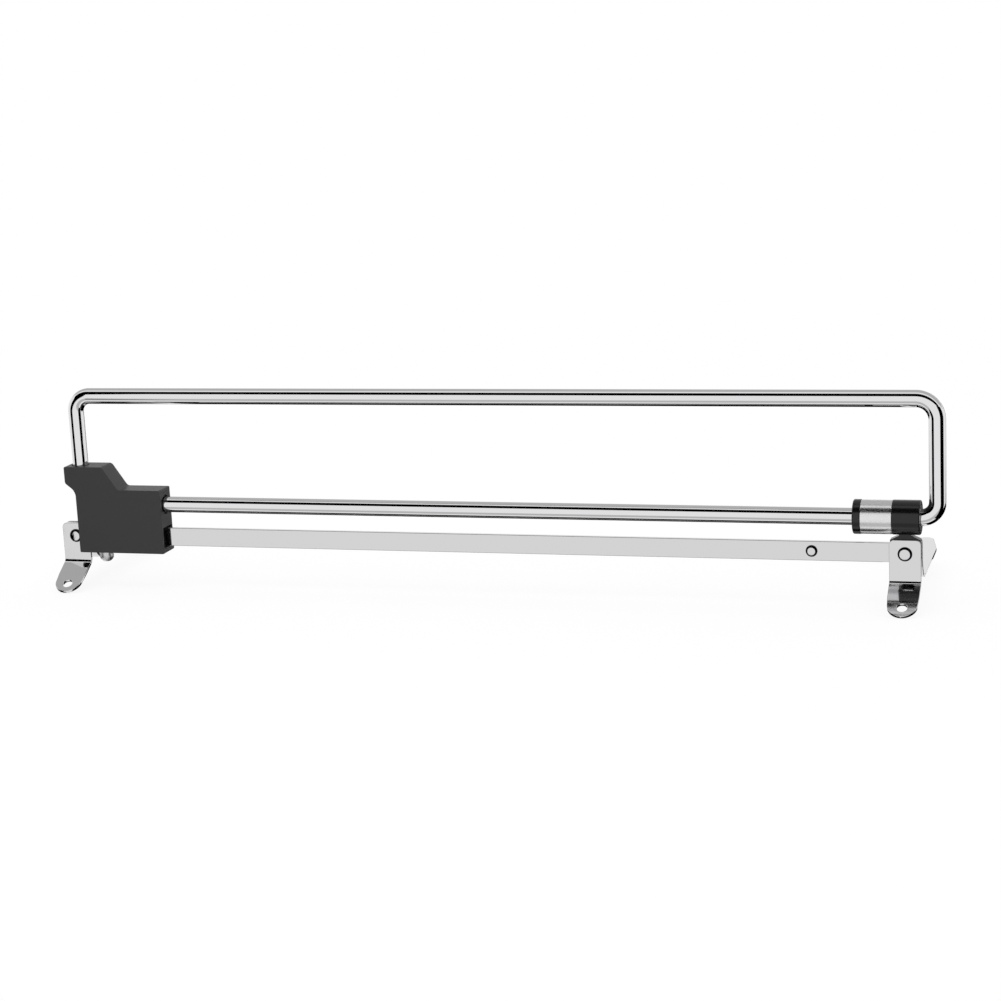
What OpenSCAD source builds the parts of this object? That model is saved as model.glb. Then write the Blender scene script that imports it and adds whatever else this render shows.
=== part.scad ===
// Pull-out clothes rail: a chromed bar loop on a plastic slider that runs along a flat steel rail.
// Millimetres, +Z up, +X the way the loop pulls out, +Y away from the side that is looked at.
// The model is drawn from the axis of the lower bar, below the riser, and then set down so that the
// origin lies midway between the two flange screw holes, on the underside of the flanges.

/* [Bar loop] */
// Diameter of the bar
rod_d = 8; // [6:0.5:9]
// Length of the loop, from the middle of one upright to the middle of the other
loop_l = 431.5; // [300:0.5:600]
// Height of the loop, from the middle of the lower bar to the middle of the top bar
loop_h = 55.5; // [40:0.5:90]
// Bend radius at the top of the riser, to the middle of the bar
riser_bend_r = 8; // [6:0.5:14]
// Bend radius at the top of the far upright, to the middle of the bar
top_bend_r = 9.5; // [6:0.5:14]
// Bend radius at the foot of the far upright, to the middle of the bar
foot_bend_r = 7.4; // [6:0.1:9]

/* [Base rail] */
// Height of the flat rail
rail_h = 9.3; // [8:0.1:10]
// Thickness of the flat rail
rail_t = 2.5; // [2:0.1:3]
// Distance from the lower bar's axis down to the rail's top edge
rail_drop = 12; // [11.5:0.1:13]
// How far the rail's ends stay inside the lugs' outer edges
rail_inset = 1; // [0.5:0.1:2]

/* [Brackets] */
// Width of a lug
lug_w = 14.7; // [12:0.1:16]
// Thickness of the lug sheet
lug_t = 1.5; // [1:0.1:1.6]
// How far a lug's top edge stands above the rail
lug_rise = 1.9; // [1:0.1:2.2]
// Height of a rear lug, from its top edge to the top face of the flange
lug_h = 19.9; // [18.5:0.1:24]
// Height of a front lug, from its top edge to its fold
front_lug_h = 18.6; // [18:0.1:24]
// Corner radius at a lug's top
lug_corner_r = 2.4; // [1:0.1:4]
// Distance from the riser back to the middle of the left bracket
left_bracket_back = 4.7; // [4:0.1:6]
// Distance from the far upright back to the middle of the right bracket
right_bracket_back = 14.7; // [14.2:0.1:20]
// Length of a front tongue, from its fold to its tip
tongue_l = 20.5; // [18:0.5:30]
// Width of a front tongue at its tip
tongue_tip_w = 14; // [11:0.1:14.4]
// Length over which a front tongue narrows to its tip
tongue_taper_l = 12; // [8:0.5:16]
// Slope of a front tongue below the level
tongue_slope = 32; // [20:1:50]
// Distance of the screw hole from the tip of a front tongue
tongue_hole_in = 5.3; // [5:0.1:9]
// Inner radius of the fold between a front plate and its tongue
fold_r = 2; // [0.8:0.1:2.4]
// Bend radius of a rear lug, to the middle of the sheet
rear_bend_r = 11; // [8:0.1:11.4]
// Distance from the rail's middle back to the tip of a rear flange
flange_reach = 86; // [70:1:110]
// Width of a rear flange at its tip
flange_tip_w = 8; // [7:0.1:14.4]
// Length over which a rear flange narrows to its tip
flange_taper_l = 23; // [10:0.5:30]
// Distance from the rail's middle back to the screw hole of a rear flange
flange_hole_back = 45; // [25:1:55]
// Diameter of a screw hole
screw_hole_d = 5; // [3.5:0.1:5.5]

/* [Rivets] */
// Diameter of a rivet's shank
rivet_d = 3.6; // [3:0.1:4]
// Diameter of a bracket rivet's head
rivet_head_d = 6.8; // [5.5:0.1:7]
// Height of a rivet's head, and the radius of its round rim
rivet_head_h = 1.4; // [0.8:0.1:1.6]
// Diameter of the end closed behind
rivet_tail_d = 5; // [4.2:0.1:5.2]
// Height of the end closed behind
rivet_tail_h = 0.8; // [0.5:0.1:1]
// Diameter of the stop rivet's head
stop_head_d = 5.6; // [5.2:0.1:6.4]
// Distance from the far upright back to the stop rivet
stop_back = 58.2; // [50:0.1:90]

/* [Guide bush] */
// Outer diameter of the bush
bush_d = 16.2; // [15:0.1:16.6]
// Gap between the bush and the bend at the foot of the upright
bush_bend_gap = 0.1; // [0.1:0.05:1]
// Length of the black body
bush_body_l = 12.8; // [11.5:0.1:14]
// Length of the chromed sleeve
bush_sleeve_l = 14.6; // [10:0.1:20]
// Length of the black end ring
bush_ring_l = 3.6; // [2.5:0.1:5]
// How far the sleeve is sunk below the body and the ring
sleeve_step = 0.15; // [0.05:0.05:0.3]
// Wall of the liner
liner_wall = 1.4; // [1:0.1:1.8]
// Width of the neck under the body
neck_w = 5.7; // [4:0.1:8]
// Thickness of each cheek of the fork that straddles the rail
cheek_t = 1; // [0.8:0.1:1.2]
// Rounding of the bush's outer edges
bush_edge_r = 0.7; // [0.3:0.1:1]

/* [Slider block] */
// Thickness of the block
block_t = 12.8; // [12.8:0.1:15]
// Length of the block's foot, without the nose
block_l = 46.7; // [44:0.1:60]
// How far the block's left side stands out from the riser's axis
block_left = 1.3; // [1:0.1:2]
// How far the nose stands out from the riser's axis
nose_left = 6.7; // [6:0.1:8]
// Height of the top face above the lower bar's axis
block_top = 19.9; // [18:0.1:26]
// Height of the step above the lower bar's axis
step_top = 8.2; // [7:0.1:10]
// Depth of the foot below the lower bar's axis
block_foot = 24.6; // [24:0.1:26]
// Where the top face ends, from the riser's axis
top_end = 14.4; // [9:0.1:18]
// Where the step starts, from the riser's axis
step_start = 22.4; // [20:0.1:26]
// Depth of the nose below the top face
nose_h = 8.5; // [8:0.1:9]
// Height of the curve under the nose
nose_sweep_h = 6; // [5:0.1:8]
// Corner rounding of the block's outline
block_corner_r = 1.2; // [0.6:0.1:2]
// Wall beside the hollow
block_wall = 1.2; // [1:0.1:1.4]
// Depth of the riser's socket below the top face
riser_socket = 8; // [6:0.1:8]
// Length of the lower bar's socket
lower_socket = 34; // [25:0.1:36]
// Thickness of the end wall with the rail's window
window_wall = 3; // [2:0.1:4]
// Height of the hollow above the lugs
hollow_gap = 0.6; // [0.3:0.1:1]
// Thickness of the floor under the glide insert
block_floor = 1.6; // [1.2:0.1:1.8]
// Room between the bracket and the floor's open end
floor_gap = 2.4; // [1:0.1:4]
// Room between the bracket and the glide insert
insert_gap = 5.3; // [2:0.1:8]
// Diameter of the screw head under the block
glide_head_d = 7.2; // [6:0.1:8]
// Height of the screw head under the block
glide_head_h = 6; // [3:0.1:6.2]
// Diameter of the glide screw's thread
glide_screw_d = 3; // [2.5:0.1:3.2]
// Distance from the riser's axis to the glide screw
glide_screw_x = 10.3; // [10.2:0.1:16]
// Diameter of the pins through the bar ends
pin_d = 2.5; // [2:0.1:3]

/* [Fits] */
// Running gap all round the bar in its bush
bush_fit = 0.08; // [0.02:0.01:0.1]
// Running gap all round the rail in the glide insert
rail_fit = 0.1; // [0.05:0.01:0.2]
// Gap all round the bar in its sockets
socket_fit = 0.05; // [0.02:0.01:0.1]
// Gap where one fixed piece is put into another
set_fit = 0.02; // [0:0.01:0.05]

/* [Hidden] */

chrome = [0.86, 0.86, 0.88];
steel = [0.80, 0.81, 0.83];
dark_plastic = [0.06, 0.06, 0.065];
block_plastic = [0.24, 0.24, 0.25];
nylon = [0.35, 0.35, 0.36];

cut = 0.5;
rod_r = rod_d / 2;
left_x = -left_bracket_back;
right_x = loop_l - right_bracket_back;
stop_x = loop_l - stop_back;

rail_top = -rail_drop;
rail_mid = rail_top - rail_h / 2;
rail_start = left_x - lug_w / 2 + rail_inset;
rail_end = right_x + lug_w / 2 - rail_inset;

lug_top = rail_top + lug_rise;
flange_top = lug_top - lug_h;
flange_under = flange_top - lug_t;
fold_top = lug_top - front_lug_h;
left_face = rail_t / 2;
right_face = rail_t / 2 + cheek_t;

tip_steps = 24;
fold_steps = 12;
tail_rim = rivet_tail_h / 2;
tail_taper = 0.7;

bush_r = bush_d / 2;
bush_end = loop_l - foot_bend_r - bush_bend_gap;
body_start = bush_end - bush_body_l;
sleeve_start = body_start - bush_sleeve_l;
bush_start = sleeve_start - bush_ring_l;
liner_in_r = rod_r + bush_fit;
liner_out_r = liner_in_r + liner_wall;
sleeve_out_r = bush_r - sleeve_step;
neck_top = -bush_r + 0.8;
neck_low = -bush_r - 0.3;
fork_top = lug_top - 0.2;
fork_low = rail_mid - 5.7;
fork_w = lug_w - 0.7;

block_end = block_l - block_left;
hollow_half = block_t / 2 - block_wall;
hollow_top = lug_top + hollow_gap;
hollow_floor = block_floor - block_foot;
bracket_edge = left_x + lug_w / 2;
insert_start = bracket_edge + insert_gap;
insert_end = block_end - window_wall - set_fit;
window_gap = 0.6;
riser_end = block_top - riser_socket;
lower_end = block_end - lower_socket;
socket_recess_r = rod_r + 0.9;
socket_recess_l = 1;
pin_bore_start = -rod_r + 0.4;
pin_tail = block_t / 2 - 0.4;
pin_x = block_end - 12;
pin_z = block_top - riser_socket / 2;
screw_grip = 1;
screw_hole_spare = 0.2;
dome_r = glide_head_d / 2;
dome_h = dome_r * 0.6;
nose_sweep_w = (nose_left - block_left) * 0.32;

// Set the drawn pieces down on the mounting plane, midway between the flange holes.
module in_place() {
  translate([-(left_x + right_x) / 2, -flange_hole_back, -flange_under]) children();
}

// A cylinder along X from one place to another.
module along_x(r, from, to) {
  translate([from, 0, 0]) rotate([0, 90, 0]) cylinder(r = r, h = to - from, $fn = 64);
}

// A cylinder along Y from one place to another.
module along_y(r, from, to) {
  translate([0, from, 0]) rotate([-90, 0, 0]) cylinder(r = r, h = to - from, $fn = 64);
}

// A quarter bend of the bar in the XZ plane, starting along +X and turning up.
module bar_bend(r) {
  translate([0, 0, r]) rotate([90, 0, 0]) rotate([0, 0, -90])
    rotate_extrude(angle = 90, $fn = 96) translate([r, 0]) circle(d = rod_d, $fn = 64);
}

// How far round its round tip, from the middle of it, a narrowing strip's sides touch it.
function tip_touch(taper_l, tip_w) =
  let (run = taper_l - tip_w / 2, half_w = lug_w / 2)
  180 - atan2(half_w, run) - acos(tip_w / 2 / sqrt(run * run + half_w * half_w));

// The round tip of a strip that reaches l along +X, as points from its right side to its left one.
function tip_points(l, taper_l, tip_w) =
  let (tip_r = tip_w / 2, touch = tip_touch(taper_l, tip_w))
  [for (i = [0:1:tip_steps]) let (a = touch * (2 * i / tip_steps - 1))
    [l - tip_r + tip_r * cos(a), tip_r * sin(a)]
  ];

// The upright plate of a lug in the XZ plane, centred on x = 0, from z = low up to the lug's top.
module lug_plate(face, low) {
  straight_top = lug_top - lug_corner_r;
  difference() {
    union() {
      translate([-lug_w / 2, face, low]) cube([lug_w, lug_t, straight_top - low]);
      translate([-lug_w / 2 + lug_corner_r, face, straight_top - cut])
        cube([lug_w - 2 * lug_corner_r, lug_t, lug_corner_r + cut]);
      for (side = [-1, 1])
        translate([side * (lug_w / 2 - lug_corner_r), 0, straight_top])
          along_y(lug_corner_r, face, face + lug_t);
    }
    translate([0, 0, rail_mid]) along_y(rivet_d / 2 + set_fit, face - cut, face + lug_t + cut);
  }
}

// A front lug: a plate that folds forwards into a sloping tongue. face is its distance from y = 0. The
// tip's cutter starts beside the tongue, so that its sides cross the tongue's.
module front_lug(x, face) {
  turn = 90 - tongue_slope;
  fold_y = -face - lug_t - fold_r;
  outer_r = fold_r + lug_t;
  tongue_end = tongue_l + cut;
  tip_from = tongue_l - tongue_taper_l - cut;
  tip_half_w = lug_w / 2 + 2 * cut / tan(tip_touch(tongue_taper_l, tongue_tip_w));
  bend = [for (i = [0:1:fold_steps]) -turn * i / fold_steps];
  translate([x, 0, 0]) difference() {
    union() {
      lug_plate(-face - lug_t, fold_top);
      translate([-lug_w / 2, fold_y, fold_top]) rotate([90, 0, 90]) linear_extrude(lug_w)
        polygon(concat(
          [for (a = bend) [fold_r * cos(a), fold_r * sin(a)]],
          [for (r = [fold_r, outer_r]) [
            r * cos(turn) - tongue_end * cos(tongue_slope),
            -r * sin(turn) - tongue_end * sin(tongue_slope)
          ]],
          [for (i = [0:1:fold_steps]) let (a = bend[fold_steps - i]) [outer_r * cos(a), outer_r * sin(a)]]
        ));
    }
    translate([0, fold_y, fold_top]) rotate([-turn, 0, 0]) translate([0, fold_r - cut, 0])
      rotate([-90, 0, 0]) rotate([0, 0, 90]) linear_extrude(lug_t + 2 * cut) {
        difference() {
          translate([tip_from, -lug_w]) square([tongue_end + cut - tip_from, 2 * lug_w]);
          polygon(concat(
            [[tip_from - cut, tip_half_w], [tip_from - cut, -tip_half_w]],
            tip_points(tongue_l, tongue_taper_l, tongue_tip_w)
          ));
        }
        translate([tongue_l - tongue_hole_in, 0]) circle(d = screw_hole_d, $fn = 48);
      }
  }
}

// A rear lug: a plate that sweeps back into a long level flange. face is its distance from y = 0.
module rear_lug(x, face) {
  bend_top = flange_top - lug_t / 2 + rear_bend_r;
  bend_y = face + lug_t / 2 + rear_bend_r;
  flange_l = flange_reach - bend_y;
  translate([x, 0, 0]) {
    lug_plate(face, bend_top);
    translate([-lug_w / 2, bend_y, bend_top]) rotate([0, 90, 0]) rotate([0, 0, -90])
      rotate_extrude(angle = 90, $fn = 128)
        translate([rear_bend_r - lug_t / 2, 0]) square([lug_t, lug_w]);
    translate([0, bend_y, flange_under]) rotate([0, 0, 90]) linear_extrude(lug_t) difference() {
      polygon(concat(
        [[0, lug_w / 2], [0, -lug_w / 2], [flange_l - flange_taper_l, -lug_w / 2]],
        tip_points(flange_l, flange_taper_l, flange_tip_w),
        [[flange_l - flange_taper_l, lug_w / 2]]
      ));
      translate([flange_hole_back - bend_y, 0]) circle(d = screw_hole_d, $fn = 48);
    }
  }
}

// A rivet along Y through a stack that reaches out to y = face on both sides. Its head is flat in the
// middle with a round rim.
module rivet(x, face, head_d) {
  head_flat = head_d / 2 - rivet_head_h;
  tail_flat = rivet_tail_d / 2 * tail_taper;
  translate([x, 0, rail_mid]) rotate([90, 0, 0]) rotate_extrude($fn = 64)
    polygon(concat(
      [
        [0, -face - rivet_tail_h],
        [tail_flat, -face - rivet_tail_h],
        [rivet_tail_d / 2, -face - tail_rim],
        [rivet_tail_d / 2, -face],
        [rivet_d / 2, -face],
        [rivet_d / 2, face]
      ],
      [for (a = [0:10:90]) [head_flat + rivet_head_h * cos(a), face + rivet_head_h * sin(a)]],
      [[0, face + rivet_head_h]]
    ));
}

module base_rail() {
  color(steel) in_place() difference() {
    translate([rail_start, -rail_t / 2, rail_top - rail_h])
      cube([rail_end - rail_start, rail_t, rail_h]);
    for (x = [left_x, stop_x, right_x])
      translate([x, 0, rail_mid]) along_y(rivet_d / 2 + set_fit, -rail_t, rail_t);
  }
}

module left_front_lug() {
  color(steel) in_place() front_lug(left_x, left_face);
}

module left_rear_lug() {
  color(steel) in_place() rear_lug(left_x, left_face);
}

module right_front_lug() {
  color(steel) in_place() front_lug(right_x, right_face);
}

module right_rear_lug() {
  color(steel) in_place() rear_lug(right_x, right_face);
}

module left_rivet() {
  color(chrome) in_place() rivet(left_x, left_face + lug_t, rivet_head_d);
}

module right_rivet() {
  color(chrome) in_place() rivet(right_x, right_face + lug_t, rivet_head_d);
}

module stop_rivet() {
  color(chrome) in_place() rivet(stop_x, rail_t / 2, stop_head_d);
}

// The black body of the bush, its neck and the fork that straddles the rail.
module bush_body() {
  fork_half = rail_t / 2 + cheek_t;
  color(dark_plastic) in_place() difference() {
    union() {
      translate([body_start, 0, 0]) rotate([0, 90, 0]) rotate_extrude($fn = 96)
        polygon(concat(
          [[0, 0], [bush_r, 0]],
          [for (a = [0:15:90]) [
            bush_r - bush_edge_r + bush_edge_r * cos(a),
            bush_body_l - bush_edge_r + bush_edge_r * sin(a)
          ]],
          [[0, bush_body_l]]
        ));
      translate([right_x, fork_half, 0]) rotate([90, 0, 0]) linear_extrude(2 * fork_half)
        polygon([
          [-neck_w / 2, neck_top], [neck_w / 2, neck_top],
          [neck_w / 2, neck_low], [fork_w / 2, fork_top],
          [fork_w / 2, rail_mid], [neck_w / 2, fork_low],
          [-neck_w / 2, fork_low], [-fork_w / 2, rail_mid],
          [-fork_w / 2, fork_top], [-neck_w / 2, neck_low]
        ]);
    }
    along_x(liner_out_r + set_fit, body_start - cut, bush_end + cut);
    translate([right_x - lug_w, -rail_t / 2 - set_fit, rail_top - lug_h])
      cube([2 * lug_w, rail_t + 2 * set_fit, lug_h + set_fit]);
    translate([right_x, 0, rail_mid]) along_y(rivet_d / 2 + set_fit, -bush_r, bush_r);
  }
}

module bush_liner() {
  color(nylon) in_place() difference() {
    along_x(liner_out_r, bush_start, bush_end);
    along_x(liner_in_r, bush_start - cut, bush_end + cut);
  }
}

module bush_sleeve() {
  color(chrome) in_place() difference() {
    along_x(sleeve_out_r, sleeve_start + set_fit, body_start - set_fit);
    along_x(liner_out_r + set_fit, sleeve_start - cut, body_start + cut);
  }
}

module bush_end_ring() {
  color(dark_plastic) in_place() translate([bush_start, 0, 0]) rotate([0, 90, 0])
    rotate_extrude($fn = 96)
      polygon(concat(
        [[liner_out_r + set_fit, bush_ring_l], [liner_out_r + set_fit, 0]],
        [for (a = [-90:15:0]) [
          bush_r - bush_edge_r + bush_edge_r * cos(a),
          bush_edge_r + bush_edge_r * sin(a)
        ]],
        [[bush_r, bush_ring_l]]
      ));
}

// The bar: lower run, foot bend, far upright, top bend, top run, riser bend and riser.
module loop_rod() {
  color(chrome) in_place() difference() {
    union() {
      along_x(rod_r, lower_end, loop_l - foot_bend_r);
      translate([loop_l - foot_bend_r, 0, 0]) bar_bend(foot_bend_r);
      translate([loop_l, 0, foot_bend_r])
        cylinder(r = rod_r, h = loop_h - foot_bend_r - top_bend_r, $fn = 64);
      translate([loop_l - top_bend_r, 0, loop_h]) mirror([0, 0, 1]) bar_bend(top_bend_r);
      translate([0, 0, loop_h]) along_x(rod_r, riser_bend_r, loop_l - top_bend_r);
      translate([riser_bend_r, 0, loop_h]) mirror([1, 0, 0]) mirror([0, 0, 1]) bar_bend(riser_bend_r);
      translate([0, 0, riser_end]) cylinder(r = rod_r, h = loop_h - riser_bend_r - riser_end, $fn = 64);
    }
    translate([0, 0, pin_z]) along_y(pin_d / 2 + set_fit, -rod_d, rod_d);
    translate([pin_x, 0, 0]) along_y(pin_d / 2 + set_fit, -rod_d, rod_d);
  }
}

// The block's outline in the XZ plane.
module block_outline() {
  offset(r = -block_corner_r) offset(delta = block_corner_r)
    offset(r = block_corner_r) offset(delta = -block_corner_r)
      polygon([
        [-nose_left, block_top], [top_end, block_top], [step_start, step_top],
        [block_end, step_top], [block_end, -block_foot], [-block_left, -block_foot],
        [-block_left, block_top - nose_h - nose_sweep_h],
        [-block_left - nose_sweep_w, block_top - nose_h - nose_sweep_h / 2],
        [-nose_left, block_top - nose_h]
      ]);
}

module slider_body() {
  color(block_plastic) in_place() difference() {
    translate([0, block_t / 2, 0]) rotate([90, 0, 0]) linear_extrude(block_t) block_outline();
    // Sockets for the two bar ends, with the recess where the lower bar leaves.
    translate([0, 0, riser_end]) cylinder(r = rod_r + socket_fit, h = riser_socket + cut, $fn = 64);
    along_x(rod_r + socket_fit, lower_end, block_end + cut);
    along_x(socket_recess_r, block_end - socket_recess_l, block_end + cut);
    // The hollow for the glide insert and, at rest, for the left bracket.
    translate([-nose_left - cut, -hollow_half, hollow_floor])
      cube([block_end - window_wall + nose_left + cut, 2 * hollow_half, hollow_top - hollow_floor]);
    translate([-nose_left - cut, -hollow_half, -block_foot - cut])
      cube([bracket_edge + floor_gap + nose_left + cut, 2 * hollow_half, hollow_top + block_foot + cut]);
    // The rail's window in the end wall.
    translate([block_end - window_wall - cut, -hollow_half, rail_top - rail_h - window_gap])
      cube([window_wall + 2 * cut, 2 * hollow_half, rail_h + 2 * window_gap]);
    // Holes for the pins and the glide screw.
    translate([0, 0, pin_z]) along_y(pin_d / 2 + set_fit, pin_bore_start, block_t);
    translate([pin_x, 0, 0]) along_y(pin_d / 2 + set_fit, pin_bore_start, block_t);
    translate([glide_screw_x, 0, -block_foot - cut])
      cylinder(d = glide_screw_d + 2 * set_fit, h = block_floor + 2 * cut, $fn = 48);
  }
}

// The plastic guide inside the block, with the rail's slot through it.
module glide_insert() {
  slot_half = rail_t / 2 + rail_fit;
  color(nylon) in_place() difference() {
    translate([insert_start, -hollow_half + set_fit, hollow_floor + set_fit])
      cube([
        insert_end - insert_start, 2 * (hollow_half - set_fit), hollow_top - hollow_floor - 2 * set_fit
      ]);
    translate([insert_start - cut, -slot_half, rail_top - rail_h - rail_fit])
      cube([insert_end - insert_start + 2 * cut, 2 * slot_half, rail_h + 2 * rail_fit]);
    translate([glide_screw_x, 0, -block_foot])
      cylinder(d = glide_screw_d + 2 * set_fit, h = block_floor + screw_grip + screw_hole_spare, $fn = 48);
  }
}

// The domed screw that holds the insert from below.
module glide_screw() {
  color(chrome) in_place() translate([glide_screw_x, 0, -block_foot]) {
    cylinder(d = glide_screw_d, h = block_floor + screw_grip, $fn = 48);
    mirror([0, 0, 1]) rotate_extrude($fn = 64)
      polygon(concat(
        [[0, 0], [dome_r, 0], [dome_r, glide_head_h - dome_h]],
        [for (a = [15:15:90]) [dome_r * cos(a), glide_head_h - dome_h + dome_h * sin(a)]]
      ));
  }
}

module rod_pins() {
  color(steel) in_place() {
    translate([0, 0, pin_z]) along_y(pin_d / 2, pin_bore_start + set_fit, pin_tail);
    translate([pin_x, 0, 0]) along_y(pin_d / 2, pin_bore_start + set_fit, pin_tail);
  }
}

base_rail();
left_front_lug();
left_rear_lug();
right_front_lug();
right_rear_lug();
left_rivet();
right_rivet();
stop_rivet();
bush_body();
bush_liner();
bush_sleeve();
bush_end_ring();
loop_rod();
slider_body();
glide_insert();
glide_screw();
rod_pins();
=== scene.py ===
# %% [markdown]
# # A pull-out clothes rail
# A chromed bar is bent into a long flat loop. Its two ends sit in a plastic block, the block runs on
# a flat steel rail, and the loop's lower bar runs through a guide bush at the other end of the rail.
# Two bent sheet brackets carry the rail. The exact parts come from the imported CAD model. This lesson
# gives them the shapes and finishes that light shows: rounded edges, domed rivets, chrome and moulded
# plastic.

# %% Load the exact parts
import math

import bmesh
import bpy
from mathutils import Matrix, Vector


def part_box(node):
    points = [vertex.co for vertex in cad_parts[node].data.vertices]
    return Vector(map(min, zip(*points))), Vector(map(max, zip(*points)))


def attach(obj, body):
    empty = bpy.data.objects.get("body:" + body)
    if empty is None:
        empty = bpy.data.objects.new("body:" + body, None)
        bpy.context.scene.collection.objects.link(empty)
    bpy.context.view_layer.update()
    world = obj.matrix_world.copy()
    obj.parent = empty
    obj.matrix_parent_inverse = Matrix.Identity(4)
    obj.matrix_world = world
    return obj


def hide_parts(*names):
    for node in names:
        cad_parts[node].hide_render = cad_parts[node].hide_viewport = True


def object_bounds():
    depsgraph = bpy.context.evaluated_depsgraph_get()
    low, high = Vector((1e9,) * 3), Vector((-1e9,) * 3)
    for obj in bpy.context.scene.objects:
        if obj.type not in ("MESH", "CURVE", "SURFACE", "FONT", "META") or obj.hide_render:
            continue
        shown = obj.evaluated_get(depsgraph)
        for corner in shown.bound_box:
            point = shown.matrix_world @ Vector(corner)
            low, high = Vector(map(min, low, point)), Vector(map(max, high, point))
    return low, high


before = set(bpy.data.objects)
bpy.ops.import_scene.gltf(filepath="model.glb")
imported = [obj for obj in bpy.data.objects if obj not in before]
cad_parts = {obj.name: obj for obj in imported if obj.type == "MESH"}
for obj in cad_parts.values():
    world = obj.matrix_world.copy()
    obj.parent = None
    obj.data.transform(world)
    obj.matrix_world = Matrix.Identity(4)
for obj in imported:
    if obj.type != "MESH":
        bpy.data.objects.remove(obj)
cad_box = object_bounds()
MM = 0.001
WELD = 0.002 * MM
NEAR = 0.05 * MM
print("parts:", ", ".join(sorted(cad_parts)))

# %% [markdown]
# ## Small helpers for working by hand
# An operator changes whatever is selected, so each step first clears the selection. In edit mode the
# points, edges or faces to work on are picked by where they are.


# %% Helpers for objects
def only(piece):
    """Select one object and nothing else."""
    bpy.ops.object.select_all(action="DESELECT")
    piece.select_set(True)
    bpy.context.view_layer.objects.active = piece


def leave():
    """Go back to object mode."""
    bpy.ops.object.mode_set(mode="OBJECT")


def middle(part):
    """The middle of a vertex, an edge or a face."""
    if isinstance(part, bmesh.types.BMVert):
        return part.co
    corners = [corner.co for corner in part.verts]
    return sum(corners, Vector()) / len(corners)


def pick(kind, test):
    """In edit mode, select only the vertices, edges or faces whose middle passes the test."""
    bpy.ops.mesh.select_mode(type=kind)
    bpy.ops.mesh.select_all(action="DESELECT")
    data = bpy.context.object.data
    mesh = bmesh.from_edit_mesh(data)
    parts = {"VERT": mesh.verts, "EDGE": mesh.edges, "FACE": mesh.faces}[kind]
    picked = 0
    for part in parts:
        if test(middle(part)):
            part.select_set(True)
            picked += 1
    bmesh.update_edit_mesh(data)
    return picked


# %% Helpers for lines and extrusions
def draw_line(name, points):
    """Draw a chain of edges by extruding one point along the way, and stay in edit mode."""
    bpy.ops.object.select_all(action="DESELECT")
    bpy.ops.mesh.primitive_plane_add(size=MM, location=points[0])
    piece = bpy.context.object
    piece.name = name
    piece.data.name = name
    bpy.ops.object.transform_apply(location=True, rotation=True, scale=True)
    bpy.ops.object.mode_set(mode="EDIT")
    bpy.ops.mesh.select_mode(type="VERT")
    bpy.ops.mesh.select_all(action="SELECT")
    bpy.ops.mesh.merge(type="CENTER")
    for start, end in zip(points, points[1:]):
        pull(Vector(end) - Vector(start))
    return piece


def pull(step):
    """Extrude the selection by one step."""
    bpy.ops.mesh.extrude_region_move(TRANSFORM_OT_translate={"value": tuple(step)})


def arc(centre, radius, start, end, steps):
    """Points (along, out) on an arc, from one angle in degrees to another."""
    points = []
    for i in range(steps + 1):
        angle = math.radians(start + (end - start) * i / steps)
        points.append((centre[0] + radius * math.cos(angle), centre[1] + radius * math.sin(angle)))
    return points


def turned(name, profile, centre, axis, steps=96):
    """Turn a round piece as on a lathe. The profile's points are (along the axis, out from it)."""
    along = Vector(axis)
    out = Vector((0, 0, 1)) if axis[2] == 0 else Vector((1, 0, 0))
    points = [centre + along * a + out * r for a, r in profile]
    piece = draw_line(name, points)
    bpy.ops.mesh.select_all(action="SELECT")
    bpy.ops.mesh.spin(steps=steps, angle=2 * math.pi, center=centre, axis=axis)
    bpy.ops.mesh.select_all(action="SELECT")
    bpy.ops.mesh.remove_doubles(threshold=WELD)
    bpy.ops.mesh.normals_make_consistent(inside=False)
    leave()
    return piece


# %% Helpers for modifiers
def change(piece, kind, **settings):
    """Add a modifier, set it up and apply it."""
    only(piece)
    modifier = piece.modifiers.new(kind.title(), kind)
    for name, value in settings.items():
        setattr(modifier, name, value)
    bpy.ops.object.modifier_apply(modifier=modifier.name)


def carve(piece, tool, operation="DIFFERENCE"):
    """Cut a tool's shape out of a piece, or join it on, and throw the tool away."""
    change(piece, "BOOLEAN", operation=operation, object=tool, solver="EXACT")
    bpy.data.objects.remove(tool)


def soften(piece, width, segments=3, angle=35):
    """Round the sharp edges, and shade the round parts smooth and the flat parts flat."""
    change(piece, "BEVEL", width=width, segments=segments, limit_method="ANGLE",
           angle_limit=math.radians(angle), miter_outer="MITER_ARC")
    shade(piece, angle)


def shade(piece, angle=35):
    """Smooth shading that keeps hard corners hard and wide flat faces truly flat."""
    only(piece)
    bpy.ops.object.shade_smooth_by_angle(angle=math.radians(angle))
    change(piece, "WEIGHTED_NORMAL", mode="FACE_AREA", weight=80, keep_sharp=True)


def box_tool(low, high):
    """A box between two corners, to cut with."""
    bpy.ops.object.select_all(action="DESELECT")
    low, high = Vector(low), Vector(high)
    bpy.ops.mesh.primitive_cube_add(size=1, location=(low + high) / 2)
    tool = bpy.context.object
    tool.scale = high - low
    bpy.ops.object.transform_apply(location=True, rotation=True, scale=True)
    return tool


def round_tool(centre, direction, radius, length):
    """A round bar about a centre, to cut with."""
    bpy.ops.object.select_all(action="DESELECT")
    turn = Vector(direction).to_track_quat("Z", "Y").to_euler()
    bpy.ops.mesh.primitive_cylinder_add(vertices=96, radius=radius, depth=length,
                                        location=centre, rotation=turn)
    tool = bpy.context.object
    bpy.ops.object.transform_apply(location=True, rotation=True, scale=True)
    return tool


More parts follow.
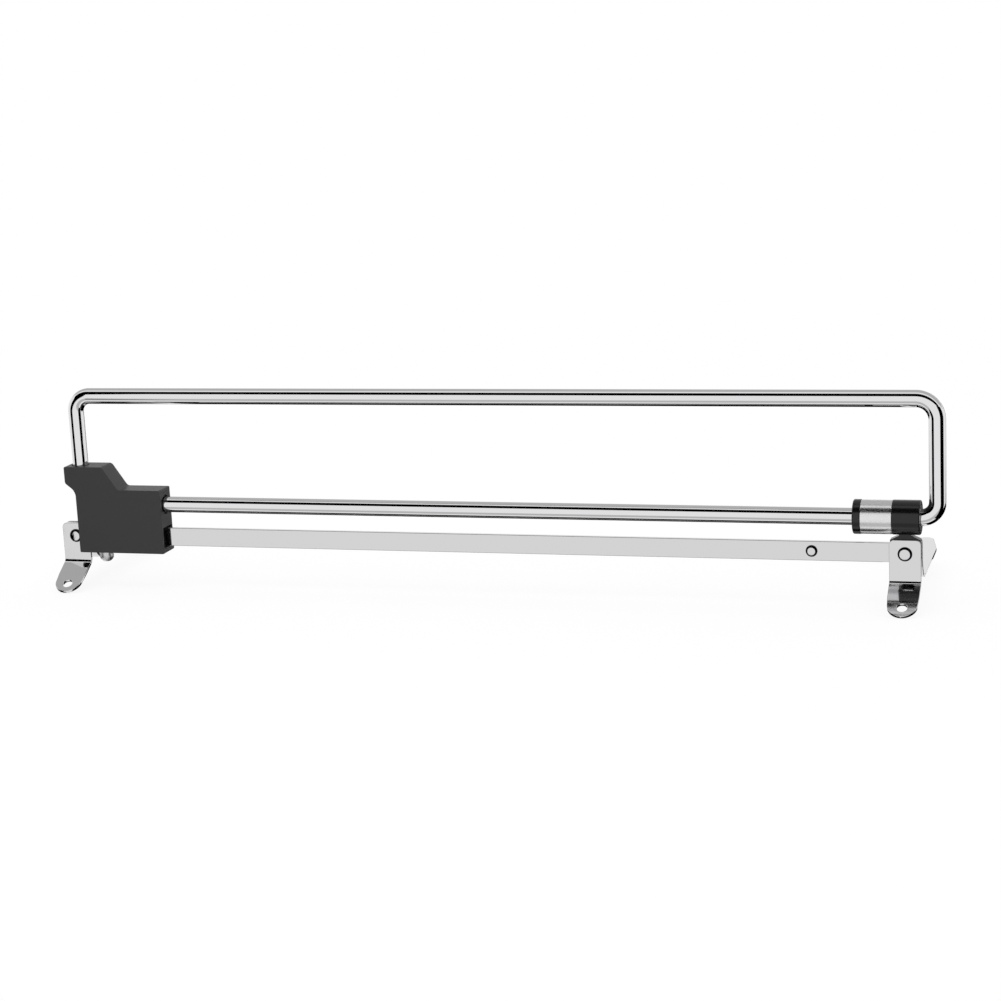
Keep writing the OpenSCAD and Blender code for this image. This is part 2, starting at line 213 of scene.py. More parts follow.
# %% [markdown]
# ## Finishes
# Chrome has no colour of its own: it is a mirror that shows the studio, a little darker. What tells
# the pieces apart is how sharp that mirror is. The bar is polished and nearly perfect. The sheet
# steel was plated after stamping, so its mirror is softer and a little grainy. The plastics come
# from two moulds: the block's is matte and spark-eroded, the bush's is smoother.


# %% Helpers for materials
def new_finish(name, colour, metal, roughness):
    """A new material with its shader's plain settings made."""
    finish = bpy.data.materials.new(name)
    finish.use_nodes = True
    finish.diffuse_color = (*colour, 1)
    shader = finish.node_tree.nodes["Principled BSDF"]
    shader.inputs["Base Color"].default_value = (*colour, 1)
    shader.inputs["Metallic"].default_value = metal
    shader.inputs["Roughness"].default_value = roughness
    return finish, finish.node_tree.nodes, finish.node_tree.links, shader


def grain(nodes, links, scale, detail=4, stretch=(1, 1, 1)):
    """A noise pattern fixed to the piece. A stretch above one makes it finer that way."""
    place = nodes.new("ShaderNodeTexCoord")
    mapping = nodes.new("ShaderNodeMapping")
    mapping.inputs["Scale"].default_value = stretch
    noise = nodes.new("ShaderNodeTexNoise")
    noise.inputs["Scale"].default_value = scale
    noise.inputs["Detail"].default_value = detail
    links.new(place.outputs["Object"], mapping.inputs["Vector"])
    links.new(mapping.outputs["Vector"], noise.inputs["Vector"])
    return noise


def vary_roughness(nodes, links, shader, noise, least, most):
    """Let a noise pattern move the roughness between two values."""
    spread = nodes.new("ShaderNodeMapRange")
    spread.inputs["From Min"].default_value = 0.3
    spread.inputs["From Max"].default_value = 0.7
    spread.inputs["To Min"].default_value = least
    spread.inputs["To Max"].default_value = most
    links.new(noise.outputs["Fac"], spread.inputs["Value"])
    links.new(spread.outputs["Result"], shader.inputs["Roughness"])


def roughen(nodes, links, shader, noise, height, strength=1):
    """Turn a noise pattern into a relief of a given height in metres."""
    bump = nodes.new("ShaderNodeBump")
    bump.inputs["Strength"].default_value = strength
    bump.inputs["Distance"].default_value = height
    links.new(noise.outputs["Fac"], bump.inputs["Height"])
    links.new(bump.outputs["Normal"], shader.inputs["Normal"])


# %% Polished chrome for the bar
polished_chrome, nodes, links, shader = new_finish("polished chrome", (0.74, 0.74, 0.75), 1, 0.03)
polish = grain(nodes, links, 60, detail=2, stretch=(0.2, 1, 1))
vary_roughness(nodes, links, shader, polish, 0.02, 0.045)
print("finish:", polished_chrome.name)

# %% Satin chrome for the bush's sleeve
satin_chrome, nodes, links, shader = new_finish("satin chrome", (0.74, 0.74, 0.75), 1, 0.25)
satin = grain(nodes, links, 900, detail=2, stretch=(0.3, 1, 1))
vary_roughness(nodes, links, shader, satin, 0.22, 0.28)
print("finish:", satin_chrome.name)

# %% Plated sheet steel for the rail and the brackets
plated_sheet, nodes, links, shader = new_finish("plated sheet steel", (0.65, 0.65, 0.655), 1, 0.06)
cloud = grain(nodes, links, 180, detail=3)
vary_roughness(nodes, links, shader, cloud, 0.04, 0.08)
speckle = grain(nodes, links, 2600, detail=2)
roughen(nodes, links, shader, speckle, 0.0004 * MM, 0.4)
print("finish:", plated_sheet.name)

# %% Bright rivets
bright_rivet, nodes, links, shader = new_finish("bright rivet", (0.66, 0.66, 0.67), 1, 0.08)
hammering = grain(nodes, links, 700, detail=2)
vary_roughness(nodes, links, shader, hammering, 0.05, 0.12)
roughen(nodes, links, shader, hammering, 0.06 * MM, 0.5)
print("finish:", bright_rivet.name)

# %% The rough plated head of the glide screw
rough_head, nodes, links, shader = new_finish("rough screw head", (0.66, 0.66, 0.67), 1, 0.4)
pitting = grain(nodes, links, 900, detail=2)
vary_roughness(nodes, links, shader, pitting, 0.35, 0.5)
roughen(nodes, links, shader, pitting, 0.1 * MM, 0.6)
print("finish:", rough_head.name)

# %% Painted dark reflection for the rim of a rivet
rim_painted_dark, nodes, links, shader = new_finish("rivet rim painted dark", (0.012, 0.012, 0.013), 1, 0.15)
vary_roughness(nodes, links, shader, grain(nodes, links, 700, detail=2), 0.1, 0.25)
print("finish:", rim_painted_dark.name)

# %% Matte dark grey plastic for the block
block_plastic, nodes, links, shader = new_finish("block plastic", (0.033, 0.033, 0.0335), 0, 0.4)
shader.inputs["Specular IOR Level"].default_value = 0.35
spark = grain(nodes, links, 3200, detail=3)
vary_roughness(nodes, links, shader, spark, 0.36, 0.46)
roughen(nodes, links, shader, spark, 0.004 * MM, 0.7)
print("finish:", block_plastic.name)

# %% Smooth black plastic for the bush
bush_plastic, nodes, links, shader = new_finish("bush plastic", (0.003, 0.003, 0.0032), 0, 0.2)
shader.inputs["Specular IOR Level"].default_value = 0.42
mould = grain(nodes, links, 1500, detail=3)
vary_roughness(nodes, links, shader, mould, 0.16, 0.24)
roughen(nodes, links, shader, mould, 0.002 * MM, 0.5)
print("finish:", bush_plastic.name)

# %% Waxy inner plastic for the guides
guide_plastic, nodes, links, shader = new_finish("guide plastic", (0.03, 0.03, 0.031), 0, 0.45)
waxy = grain(nodes, links, 900, detail=2)
vary_roughness(nodes, links, shader, waxy, 0.4, 0.5)
print("finish:", guide_plastic.name)


# %% Hand a finished piece to the frame
def hand_in(piece, finish, body, slot, *nodes_replaced):
    """Give a piece its finish, hang it on the body it moves with and hide the CAD parts it replaces. The
    slot is not used.
    """
    piece.data.materials.clear()
    piece.data.materials.append(finish)
    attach(piece, body)
    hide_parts(*nodes_replaced)
    size = piece.dimensions / MM
    print(f"{piece.name}: {size.x:.1f} x {size.y:.1f} x {size.z:.1f} mm,"
          f" {len(piece.data.polygons)} faces")


# %% [markdown]
# ## The bar loop
# The real loop is one round bar, cut to length and bent four times, with open ends inside the block.
# A curve with a round profile would be quick, but extruding a circle and spinning it round each bend
# follows what the bending machine does: straight, bend, straight, bend.

# %% Measure the loop
loop_low, loop_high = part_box("loop_rod")
bar_r = (loop_high.y - loop_low.y) / 2
bar_y = (loop_high.y + loop_low.y) / 2
riser_x = loop_low.x + bar_r
far_x = loop_high.x - bar_r
lower_z = loop_low.z + bar_r
top_z = loop_high.z - bar_r
riser_bend = 8 * MM
top_bend = 9.5 * MM
foot_bend = 7.4 * MM
RISER_SOCKET = 8 * MM
LOWER_SOCKET = 34 * MM
print(f"bar {2 * bar_r / MM:.1f} mm, loop {(far_x - riser_x) / MM:.1f} mm long")

# %% Bend the bar
block_low, block_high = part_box("slider_body")
riser_foot = block_high.z - RISER_SOCKET
lower_end = block_high.x - LOWER_SOCKET
bpy.ops.object.select_all(action="DESELECT")
bpy.ops.mesh.primitive_circle_add(vertices=96, radius=bar_r, fill_type="NGON",
                                  location=(riser_x, bar_y, riser_foot))
loop = bpy.context.object
loop.name = "chromed_loop"
bpy.ops.object.transform_apply(location=True, rotation=True, scale=True)
bpy.ops.object.mode_set(mode="EDIT")
bpy.ops.mesh.select_all(action="SELECT")
QUARTER = math.pi / 2
BEND_STEPS = 32


def bend(centre):
    """Spin the bar's open end a quarter turn about a centre, clockwise as the photo sees it."""
    bpy.ops.mesh.spin(steps=BEND_STEPS, angle=QUARTER, center=centre, axis=(0, -1, 0))


pull((0, 0, top_z - riser_bend - riser_foot))
bend((riser_x + riser_bend, bar_y, top_z - riser_bend))
pull((far_x - top_bend - riser_x - riser_bend, 0, 0))
bend((far_x - top_bend, bar_y, top_z - top_bend))
pull((0, 0, lower_z + foot_bend - top_z + top_bend))
bend((far_x - foot_bend, bar_y, lower_z + foot_bend))
pull((lower_end - far_x + foot_bend, 0, 0))
bpy.ops.mesh.select_all(action="SELECT")
bpy.ops.mesh.remove_doubles(threshold=WELD)
bpy.ops.mesh.normals_make_consistent(inside=False)
leave()
shade(loop, 40)
hand_in(loop, polished_chrome, "carriage", "chromed_bar", "loop_rod")

# %% [markdown]
# ## The slider block
# The block is one hollow moulding with a stepped top and a small nose at the back. Its outline is
# drawn as a chain of points and filled, the corners are rounded, and the whole is pulled out to its
# thickness. The hollow for the rail and the seats for the bar are cut with simple tools, as the cores
# of the mould do it.

# %% Draw the block's outline
heel_x = riser_x - 1.3 * MM
top_end_x = riser_x + 14.4 * MM
step_x = riser_x + 22.4 * MM
step_z = lower_z + 8.2 * MM
nose_low = block_high.z - 8.5 * MM
sweep_low = nose_low - 4.2 * MM
outline = [
    (block_low.x, nose_low),
    (block_low.x, block_high.z),
    (top_end_x, block_high.z),
    (step_x, step_z),
    (block_high.x, step_z),
    (block_high.x, block_low.z),
    (heel_x, block_low.z),
    (heel_x, sweep_low),
]
corner_radii = [0.9 * MM, 0.7 * MM, 1.2 * MM, 1.2 * MM, 0.7 * MM, 0.7 * MM, 0.7 * MM, 2.6 * MM]
block = draw_line("slider_block", [Vector((x, block_low.y, z)) for x, z in outline])
bpy.ops.mesh.select_all(action="SELECT")
bpy.ops.mesh.edge_face_add()


def round_corner(x, z, radius):
    """Round the outline at one corner, in finer steps where the radius is large."""
    segments = 12 if radius > 2 * MM else 8
    pick("VERT", lambda p: abs(p.x - x) < NEAR and abs(p.z - z) < NEAR)
    bpy.ops.mesh.bevel(offset=radius, offset_type="OFFSET", segments=segments, affect="VERTICES")


for (corner_x, corner_z), radius in zip(outline, corner_radii):
    round_corner(corner_x, corner_z, radius)
bpy.ops.mesh.select_all(action="SELECT")
pull((0, block_high.y - block_low.y, 0))
bpy.ops.mesh.select_all(action="SELECT")
bpy.ops.mesh.normals_make_consistent(inside=False)
leave()
change(block, "BEVEL", width=0.35 * MM, segments=3, limit_method="ANGLE",
       angle_limit=math.radians(60))
print("block outline:", len(outline), "corners before rounding")

# %% Cut the hollow, the window and the seats of the bar
insert_low, insert_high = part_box("glide_insert")
SPARE = 0.5 * MM
FIT = 0.02 * MM
hollow_in = 5.2 * MM
hollow_top = insert_high.z + FIT
hollow_floor = insert_low.z - FIT
floor_end = riser_x + 5 * MM
end_wall = 3 * MM
carve(block, box_tool((block_low.x - SPARE, bar_y - hollow_in, hollow_floor),
                      (block_high.x - end_wall, bar_y + hollow_in, hollow_top)))
carve(block, box_tool((block_low.x - SPARE, bar_y - hollow_in, block_low.z - SPARE),
                      (floor_end, bar_y + hollow_in, hollow_floor + SPARE)))
rail_low, rail_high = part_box("base_rail")
WINDOW_GAP = 0.6 * MM
carve(block, box_tool((block_high.x - end_wall - SPARE, bar_y - hollow_in, rail_low.z - WINDOW_GAP),
                      (block_high.x + SPARE, bar_y + hollow_in, rail_high.z + WINDOW_GAP)))
LOWER_SEAT = 1 * MM
RISER_SEAT = 0.7 * MM
lower_seat_r = bar_r + 0.9 * MM
riser_seat_r = bar_r + 0.45 * MM
carve(block, round_tool((block_high.x, bar_y, lower_z), (1, 0, 0), lower_seat_r, 2 * LOWER_SEAT))
carve(block, round_tool((riser_x, bar_y, block_high.z), (0, 0, 1), riser_seat_r, 2 * RISER_SEAT))
shade(block, 25)
hand_in(block, block_plastic, "carriage", "grey_plastic", "slider_body")

# %% [markdown]
# ## The glide screw
# Only its domed head looks out under the block. A round head is turned: its profile is drawn from the
# rim to the middle and spun once round.

# %% Turn the screw's head
screw_low, screw_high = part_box("glide_screw")
head_r = (screw_high.x - screw_low.x) / 2
head_h = block_low.z - screw_low.z
dome_h = head_r * 0.9
screw_centre = Vector(((screw_low.x + screw_high.x) / 2, bar_y, block_low.z))
head_profile = [(0, 0), (0, head_r - 0.25 * MM)]
head_profile += [(0.1 * MM, head_r - 0.05 * MM), (0.3 * MM, head_r)]
for a in range(0, 90, 6):
    rise, out = math.sin(math.radians(a)), math.cos(math.radians(a))
    head_profile.append((head_h - dome_h + dome_h * rise, head_r * out))
head_profile += [(head_h, 0)]
screw = turned("glide_screw_head", head_profile, screw_centre, (0, 0, -1), steps=64)
shade(screw, 40)
hand_in(screw, rough_head, "carriage", "bright_rivet", "glide_screw")

# %% [markdown]
# ## The flat rail
# The rail is flat stock on edge. Rolled stock has small round edges, and they draw the thin grey line
# along its top that the photo shows.

# %% Make the rail
rail = box_tool(rail_low, rail_high)
rail.name = "flat_rail"
soften(rail, 0.35 * MM, 3)
hand_in(rail, plated_sheet, "base", "plated_steel", "base_rail")

# %% [markdown]
# ## The brackets
# Each lug is a strip of 1.5 mm sheet. The strip's side view is drawn first, bends and all, and then
# pulled out to the strip's width, so that the surface is bent just as the sheet is. Its corners are
# rounded, Solidify gives it its thickness, and the screw hole is drilled square through it.

# %% Sheet helpers
SHEET = 1.5 * MM
CORNER_R = 2.4 * MM
HOLE_R = 2.5 * MM
EDGE_BAND = 0.3 * MM


def strip(name, side_view, left, right):
    """Pull a side view of (y, z) points out to a strip's width."""
    piece = draw_line(name, [Vector((left, y, z)) for y, z in side_view])
    bpy.ops.mesh.select_all(action="SELECT")
    pull((right - left, 0, 0))
    bpy.ops.mesh.select_all(action="SELECT")
    bpy.ops.mesh.remove_doubles(threshold=WELD)
    return piece


def at_edge(left, right):
    """A test for points on either long edge of a strip."""
    return lambda p: min(abs(p.x - left), abs(p.x - right)) < EDGE_BAND


def round_top(left, right, top):
    """Round the two upper corners of a strip."""
    edge = at_edge(left, right)
    pick("VERT", lambda p: edge(p) and abs(p.z - top) < NEAR)
    bpy.ops.mesh.bevel(offset=CORNER_R, offset_type="OFFSET", segments=10, affect="VERTICES")


def end_width(half, taper_l, tip_r):
    """Half the width at a narrowing strip's square end, so that its sides just touch the round tip."""
    run = taper_l - tip_r
    touch = math.pi - math.atan2(half, run) - math.acos(tip_r / math.hypot(run, half))
    back = tip_r * (1 - math.cos(touch))
    out = tip_r * math.sin(touch)
    return out - (half - out) / (taper_l - back) * back


def round_tip(test, left, right, taper_l, tip_r):
    """Narrow a strip's square end and round its two corners into one tip."""
    half = (right - left) / 2
    end_half = end_width(half, taper_l, tip_r)
    pick("VERT", test)
    bpy.ops.transform.resize(value=(end_half / half, 1, 1), center_override=((left + right) / 2, 0, 0))
    bpy.ops.mesh.bevel(offset=end_half - 0.02 * MM, offset_type="OFFSET", segments=20, affect="VERTICES")


def sheet_up(piece, hole_centre, hole_way):
    """Give a strip the sheet's thickness, drill it and round its edges."""
    bpy.ops.mesh.select_all(action="SELECT")
    bpy.ops.mesh.normals_make_consistent(inside=False)
    leave()
    change(piece, "SOLIDIFY", thickness=SHEET, offset=0, use_even_offset=True)
    carve(piece, round_tool(hole_centre, hole_way, HOLE_R, 6 * MM))
    soften(piece, 0.22 * MM, 3, 32)


# %% Make a front lug
FRONT_PLATE = 18 * MM
FOLD_R = 3 * MM
SLOPE = math.radians(32)
TONGUE_L = 19.95 * MM
TONGUE_TAPER = 12 * MM
TONGUE_TIP_R = 7 * MM
TONGUE_HOLE_IN = 5.3 * MM


def front_lug(name, node):
    """A plate that folds forwards into a sloping tongue with a round tip."""
    low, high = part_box(node)
    mid_y = high.y - SHEET / 2
    mid_r = FOLD_R + SHEET / 2
    fold_z = high.z - FRONT_PLATE
    turn = 90 - math.degrees(SLOPE)
    side = [(mid_y, high.z)]
    side += arc((mid_y - mid_r, fold_z), mid_r, 0, -turn, 16)
    tongue_y, tongue_z = side[-1]
    down = Vector((0, -math.cos(SLOPE), -math.sin(SLOPE)))
    for reach in (TONGUE_L - TONGUE_TAPER, TONGUE_L):
        side.append((tongue_y + down.y * reach, tongue_z + down.z * reach))
    piece = strip(name, side, low.x, high.x)
    round_tip(lambda p: p.y < side[-1][0] + NEAR, low.x, high.x, TONGUE_TAPER, TONGUE_TIP_R)
    round_top(low.x, high.x, high.z)
    hole = Vector(((low.x + high.x) / 2, tongue_y, tongue_z)) + down * (TONGUE_L - TONGUE_HOLE_IN)
    sheet_up(piece, hole, (0, math.sin(SLOPE), -math.cos(SLOPE)))
    hand_in(piece, plated_sheet, "base", "plated_steel", node)


front_lug("left_front_bracket", "left_front_lug")
front_lug("right_front_bracket", "right_front_lug")

# %% Make a rear lug
REAR_BEND = 11 * MM
FLANGE_TAPER = 23 * MM
FLANGE_TIP_R = 4 * MM


def rear_lug(name, node):
    """A plate that sweeps back into a long level flange with a round tip."""
    low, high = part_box(node)
    mid_y = low.y + SHEET / 2
    level = low.z + SHEET / 2
    side = [(mid_y, high.z)]
    side += arc((mid_y + REAR_BEND, level + REAR_BEND), REAR_BEND, 180, 270, 24)
    side += [(high.y - FLANGE_TAPER, level), (high.y, level)]
    piece = strip(name, side, low.x, high.x)
    round_tip(lambda p: p.y > high.y - NEAR, low.x, high.x, FLANGE_TAPER, FLANGE_TIP_R)
    round_top(low.x, high.x, high.z)
    sheet_up(piece, Vector(((low.x + high.x) / 2, 0, level)), (0, 0, 1))
    hand_in(piece, plated_sheet, "base", "plated_steel", node)


rear_lug("left_rear_bracket", "left_rear_lug")
rear_lug("right_rear_bracket", "right_rear_lug")

# %% [markdown]
# ## The rivets
# A rivet's head is nearly flat in the middle with a round rim, and a smaller end is pressed on behind.
# Each head shows a black ring all round, thicker than dark corners of a studio alone would
# draw it, so the steep part of the rim is painted near-black: a painted dark reflection.


# %% Turn the rivets
HEAD_H = 1.4 * MM
TAIL_H = 0.8 * MM
TAIL_R = 2.5 * MM
SHANK_R = 1.8 * MM
CROWN = 0.07 * MM
RIM_IN = 0.35 * MM


def rivet(name, node, stack, head_r):
    """A rivet through a stack of parts, with its round-rimmed head towards the front."""
    low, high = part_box(node)
    centre = Vector(((low.x + high.x) / 2, bar_y, (low.z + high.z) / 2))
    flat = head_r - HEAD_H
    profile = [(-stack - TAIL_H, 0), (-stack - TAIL_H, TAIL_R * 0.7)]
    profile += [(-stack - TAIL_H / 2, TAIL_R), (-stack, TAIL_R), (-stack, SHANK_R), (stack, SHANK_R)]
    profile += arc((stack, flat), HEAD_H, 90, 0, 10)
    profile += [(stack + HEAD_H + 0.7 * CROWN, flat * 0.6), (stack + HEAD_H + CROWN, 0)]
    piece = turned(name, profile, centre, (0, -1, 0), steps=64)
    shade(piece, 50)
    hand_in(piece, bright_rivet, "base", "bright_rivet", node)
    # The steep part of the head's rim gets near-black metal, a painted dark reflection.
    piece.data.materials.append(rim_painted_dark)
    only(piece)
    bpy.ops.object.mode_set(mode="EDIT")
    front = bar_y - stack
    pick("FACE", lambda p: p.y < front and math.hypot(p.x - centre.x, p.z - centre.z) > flat + RIM_IN)
    piece.active_material_index = 1
    bpy.ops.object.material_slot_assign()
    leave()


rail_half = rail_high.y - bar_y
CHEEK = 1 * MM
BRACKET_HEAD_R = 3.4 * MM
STOP_HEAD_R = 2.8 * MM
rivet("left_bracket_rivet", "left_rivet", rail_half + SHEET, BRACKET_HEAD_R)
rivet("right_bracket_rivet", "right_rivet", rail_half + CHEEK + SHEET, BRACKET_HEAD_R)
rivet("travel_stop_rivet", "stop_rivet", rail_half, STOP_HEAD_R)

# %% [markdown]
# ## The guide bush
# The bush is three rings over a liner: a black end ring, a chromed sleeve and a black body with a
# neck and a forked foot. The rings are turned. The foot is drawn as seen from the front, pulled out
# to its thickness and joined to the barrel.

# %% Turn the end ring and the sleeve
ring_low, ring_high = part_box("bush_end_ring")
bush_r = (ring_high.z - ring_low.z) / 2
bore_r = 5.5 * MM
ROUND = 0.7 * MM
ring_l = ring_high.x - ring_low.x
ring_profile = [(ring_l, bore_r), (0.25 * MM, bore_r), (0, bore_r + 0.25 * MM)]
ring_profile += arc((ROUND, bush_r - ROUND), ROUND, 180, 90, 6)
ring_profile += [(ring_l - 0.15 * MM, bush_r), (ring_l, bush_r - 0.15 * MM), (ring_l, bore_r)]
ring = turned("bush_ring", ring_profile, Vector((ring_low.x, bar_y, lower_z)), (1, 0, 0))
shade(ring, 50)
hand_in(ring, bush_plastic, "base", "black_plastic", "bush_end_ring")

sleeve_low, sleeve_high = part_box("bush_sleeve")
sleeve_r = (sleeve_high.z - sleeve_low.z) / 2
sleeve_l = sleeve_high.x - sleeve_low.x
EDGE = 0.3 * MM
sleeve_profile = [(sleeve_l, bore_r), (0, bore_r), (0, sleeve_r - EDGE)]
sleeve_profile += arc((EDGE, sleeve_r - EDGE), EDGE, 165, 90, 5)
sleeve_profile += arc((sleeve_l - EDGE, sleeve_r - EDGE), EDGE, 90, 0, 6)
sleeve_profile += [(sleeve_l, bore_r)]
sleeve = turned("chromed_sleeve", sleeve_profile, Vector((sleeve_low.x, bar_y, lower_z)), (1, 0, 0))
shade(sleeve, 50)
hand_in(sleeve, satin_chrome, "base", "chromed_bar", "bush_sleeve")

# %% Turn the bush's barrel and join its foot
body_low, body_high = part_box("bush_body")
barrel_l = 12.8 * MM
barrel_x = body_high.x - barrel_l
barrel_profile = [(0, bore_r), (0, bush_r - 0.15 * MM), (0.15 * MM, bush_r)]
barrel_profile += arc((barrel_l - ROUND, bush_r - ROUND), ROUND, 90, 0, 6)
barrel_profile += [(barrel_l, bore_r + 0.25 * MM), (barrel_l - 0.25 * MM, bore_r), (0, bore_r)]
barrel = turned("bush_barrel", barrel_profile, Vector((barrel_x, bar_y, lower_z)), (1, 0, 0))
rail_mid = (rail_low.z + rail_high.z) / 2
lug_low, lug_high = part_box("right_front_lug")
right_x = (lug_low.x + lug_high.x) / 2
neck = 2.85 * MM
fork = 7 * MM
fork_top = lug_high.z - 0.2 * MM
neck_top = lower_z - bush_r + 0.8 * MM
neck_foot = lower_z - bush_r - 0.3 * MM
foot_outline = [
    (right_x - neck, neck_top),
    (right_x + neck, neck_top),
    (right_x + neck, neck_foot),
    (right_x + fork, fork_top),
    (right_x + fork, rail_mid),
    (right_x + neck, body_low.z),
    (right_x - neck, body_low.z),
    (right_x - fork, rail_mid),
    (right_x - fork, fork_top),
    (right_x - neck, neck_foot),
]
foot_half = rail_half + CHEEK
foot = draw_line("bush_foot", [Vector((x, bar_y - foot_half, z)) for x, z in foot_outline])
bpy.ops.mesh.select_all(action="SELECT")
bpy.ops.mesh.edge_face_add()
pull((0, 2 * foot_half, 0))
bpy.ops.mesh.select_all(action="SELECT")
bpy.ops.mesh.normals_make_consistent(inside=False)
leave()
change(foot, "BEVEL", width=0.25 * MM, segments=2, limit_method="ANGLE", angle_limit=math.radians(25))
carve(barrel, foot, "UNION")
slot_half = rail_half + FIT
slot_reach = fork + 2 * MM
carve(barrel, box_tool((right_x - slot_reach, bar_y - slot_half, body_low.z - 2 * MM),
                       (right_x + slot_reach, bar_y + slot_half, rail_high.z + FIT)))
shade(barrel, 30)
hand_in(barrel, bush_plastic, "base", "black_plastic", "bush_body")

# %% [markdown]
# ## Parts that stay as the CAD made them
# The liner, the guide insert and the pins are plain inner parts that barely show. They keep their
# exact shapes and only get a finish.

# %% Finish the inner parts
for name, finish in (("bush_liner", guide_plastic), ("glide_insert", guide_plastic),
                     ("rod_pins", plated_sheet)):
    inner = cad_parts[name]
    inner.data.materials.clear()
    inner.data.materials.append(finish)
print("inner parts finished: 3")

# %% [markdown]
# ## Floor, light and the studio's dark edges
# The photo is white all round, and the chrome tells what else was in the studio: a long dark edge high
# in front, a dark floor behind, dark stands on both sides, two narrow stands behind on the right, and
# greyer walls between them. Each is set up as a card. Only reflections see the cards, so they draw the
# dark lines along the bars and leave the light alone.

# %% Lay the floor
floor_z = cad_box[0][2] - 0.3 * MM
bpy.ops.object.select_all(action="DESELECT")
bpy.ops.mesh.primitive_plane_add(size=24, location=(0, 0, floor_z))
floor = bpy.context.object
floor.name = "studio_floor"
bpy.ops.object.transform_apply(location=True, rotation=True, scale=True)
floor_paint = bpy.data.materials.new("floor paint")
floor_paint.use_nodes = True
nodes, links = floor_paint.node_tree.nodes, floor_paint.node_tree.links
nodes.remove(nodes["Principled BSDF"])
matte = nodes.new("ShaderNodeBsdfDiffuse")
matte.inputs["Color"].default_value = (0.96, 0.96, 0.96, 1)
glow = nodes.new("ShaderNodeEmission")
glow.inputs["Color"].default_value = (1, 1, 1, 1)
light_path = nodes.new("ShaderNodeLightPath")
place = nodes.new("ShaderNodeTexCoord")
reach = nodes.new("ShaderNodeVectorMath")
reach.operation = "LENGTH"
fade = nodes.new("ShaderNodeMapRange")
fade.inputs["From Min"].default_value = 0.3
fade.inputs["From Max"].default_value = 1
fade.inputs["To Min"].default_value = 0.88
share = nodes.new("ShaderNodeMath")
share.operation = "MULTIPLY"
links.new(place.outputs["Object"], reach.inputs[0])
links.new(reach.outputs["Value"], fade.inputs["Value"])
links.new(fade.outputs["Result"], share.inputs[1])
blend = nodes.new("ShaderNodeMixShader")
links.new(light_path.outputs["Is Camera Ray"], share.inputs[0])
links.new(share.outputs["Value"], blend.inputs["Fac"])
links.new(matte.outputs["BSDF"], blend.inputs[1])
links.new(glow.outputs["Emission"], blend.inputs[2])
links.new(blend.outputs["Shader"], nodes["Material Output"].inputs["Surface"])
floor.data.materials.append(floor_paint)
floor.visible_glossy = False
print("floor at", round(floor_z / MM, 1), "mm")

# %% Light the room
world = bpy.data.worlds.new("studio room")
bpy.context.scene.world = world
world.use_nodes = True
nodes, links = world.node_tree.nodes, world.node_tree.links
sky = nodes["Background"]
sky.inputs["Color"].default_value = (1, 1, 1, 1)
light_path = nodes.new("ShaderNodeLightPath")
seen = nodes.new("ShaderNodeMath")
seen.operation = "MAXIMUM"
level = nodes.new("ShaderNodeMapRange")
level.inputs["To Min"].default_value = 0.85
level.inputs["To Max"].default_value = 1
links.new(light_path.outputs["Is Camera Ray"], seen.inputs[0])
links.new(light_path.outputs["Is Glossy Ray"], seen.inputs[1])
links.new(seen.outputs["Value"], level.inputs["Value"])
links.new(level.outputs["Result"], sky.inputs["Strength"])

bpy.ops.object.select_all(action="DESELECT")
bpy.ops.object.light_add(type="AREA", location=(-0.4, -0.3, 2))
top_light = bpy.context.object
top_light.name = "top softbox"
top_light.data.shape = "RECTANGLE"
top_light.data.size = 2.4
top_light.data.size_y = 1.4
top_light.data.energy = 12
top_light.visible_glossy = False
print("room and softbox ready")


# %% Hang the cards
def card_paint(name, level):
    """A plain card's paint, from black at 0 to white at 1."""
    paint = bpy.data.materials.new(name)
    paint.use_nodes = True
    nodes, links = paint.node_tree.nodes, paint.node_tree.links
    nodes.remove(nodes["Principled BSDF"])
    shine = nodes.new("ShaderNodeEmission")
    shine.inputs["Color"].default_value = (level, level, level, 1)
    links.new(shine.outputs["Emission"], nodes["Material Output"].inputs["Surface"])
    return paint


def reflection_only(card):
    """Show a card in reflections and nowhere else."""
    card.visible_camera = False
    card.visible_diffuse = False
    card.visible_transmission = False
    card.visible_shadow = False


def hang_card(name, paint, direction, distance, angle, length, along):
    """A card that faces the object and spans an angle as seen from it. It lies along a given way."""
    towards = Vector(direction).normalized()
    along = Vector(along).normalized()
    across = towards.cross(along).normalized()
    along = across.cross(towards)
    turn = Matrix((along, across, towards)).transposed().to_euler()
    bpy.ops.object.select_all(action="DESELECT")
    bpy.ops.mesh.primitive_plane_add(size=1, location=towards * distance, rotation=turn)
    card = bpy.context.object
    card.name = name
    card.scale = (length, 2 * distance * math.tan(math.radians(angle / 2)), 1)
    bpy.ops.object.transform_apply(location=True, rotation=True, scale=True)
    card.data.materials.append(paint)
    reflection_only(card)


def steer(heading, height):
    """A way from the object: heading 0 is to the front, 90 to the right; height is above level."""
    heading, height = math.radians(heading), math.radians(height)
    return (math.sin(heading) * math.cos(height), -math.cos(heading) * math.cos(height), math.sin(height))


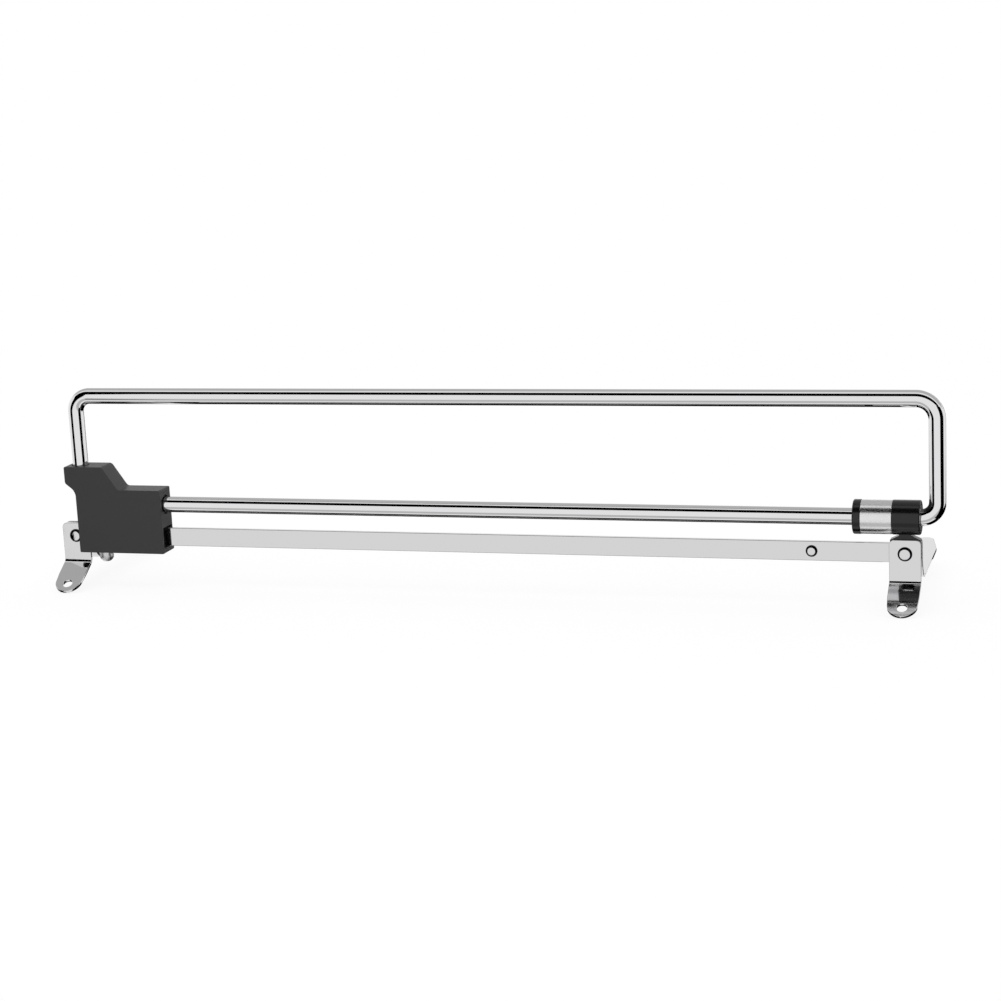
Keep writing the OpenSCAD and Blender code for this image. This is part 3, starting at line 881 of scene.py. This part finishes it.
ALONG_X = (1, 0, 0)
ALONG_Z = (0, 0, 1)
black_card = card_paint("black card", 0)
hang_card("high front card", black_card, steer(0, 56), 4, 36, 16, ALONG_X)
hang_card("low back card", black_card, steer(180, -61), 4, 84, 16, ALONG_X)
hang_card("left card", black_card, steer(-50.5, 0), 2.4, 34, 3.4, ALONG_Z)
hang_card("right card", black_card, steer(71.5, -13), 1.4, 43, 2.1, ALONG_Z)
hang_card("narrow back card", black_card, steer(170, -12), 4, 12, 3, ALONG_Z)
hang_card("far back card", black_card, steer(155, -12), 4, 6, 3, ALONG_Z)
hang_card("grey back card", card_paint("grey card", 0.55), steer(180, 52.5), 4.4, 65, 16, ALONG_X)
hang_card("grey floor card", card_paint("pale card", 0.6), steer(0, -43), 4, 30, 16, ALONG_X)
print("cards hung: 8")

# %% Lay a white spot of table under each rear flange
SPOT_RIM = 12 * MM
table_card = card_paint("table card", 1)
for name in ("left_rear_lug", "right_rear_lug"):
    low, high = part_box(name)
    bpy.ops.object.select_all(action="DESELECT")
    middle_x, middle_y = (low.x + high.x) / 2, (low.y + high.y) / 2
    bpy.ops.mesh.primitive_plane_add(size=1, location=(middle_x, middle_y, floor_z))
    spot = bpy.context.object
    spot.name = "table under the " + name
    spot.scale = (high.x - low.x + SPOT_RIM, high.y - low.y + SPOT_RIM, 1)
    bpy.ops.object.transform_apply(location=True, rotation=True, scale=True)
    spot.data.materials.append(table_card)
    reflection_only(spot)
print("table spots laid: 2")

# %% [markdown]
# ## The camera
# The camera stands where the photo was taken: in front, to the right and a little above, with a long
# lens. Its place and lens were found by matching corners of the block, the bars and the rivets.

# %% Place the camera
yaw = math.radians(16.98)
pitch = math.radians(12.32)
roll = math.radians(-2.79)
ahead = Vector((-math.sin(yaw) * math.cos(pitch), math.cos(yaw) * math.cos(pitch), -math.sin(pitch)))
right = ahead.cross(Vector((0, 0, 1))).normalized()
up = right.cross(ahead)
right_rolled = right * math.cos(roll) + up * math.sin(roll)
up_rolled = up * math.cos(roll) - right * math.sin(roll)
view = Matrix((right_rolled, up_rolled, -ahead)).transposed().to_4x4()
view.translation = Vector((335.6, -1090.11, 274.91)) * MM
lens = bpy.data.cameras.new("photo camera")
SENSOR = 36
FOCAL_PIXELS = 2312.08
PHOTO_PIXELS = 1001
lens.sensor_width = SENSOR
lens.lens = SENSOR * FOCAL_PIXELS / PHOTO_PIXELS
lens.clip_start = 0.01
camera = bpy.data.objects.new("photo camera", lens)
bpy.context.scene.collection.objects.link(camera)
camera.matrix_world = view
bpy.context.scene.camera = camera
bpy.context.scene.view_settings.view_transform = "Standard"
print(f"lens {lens.lens:.1f} mm")
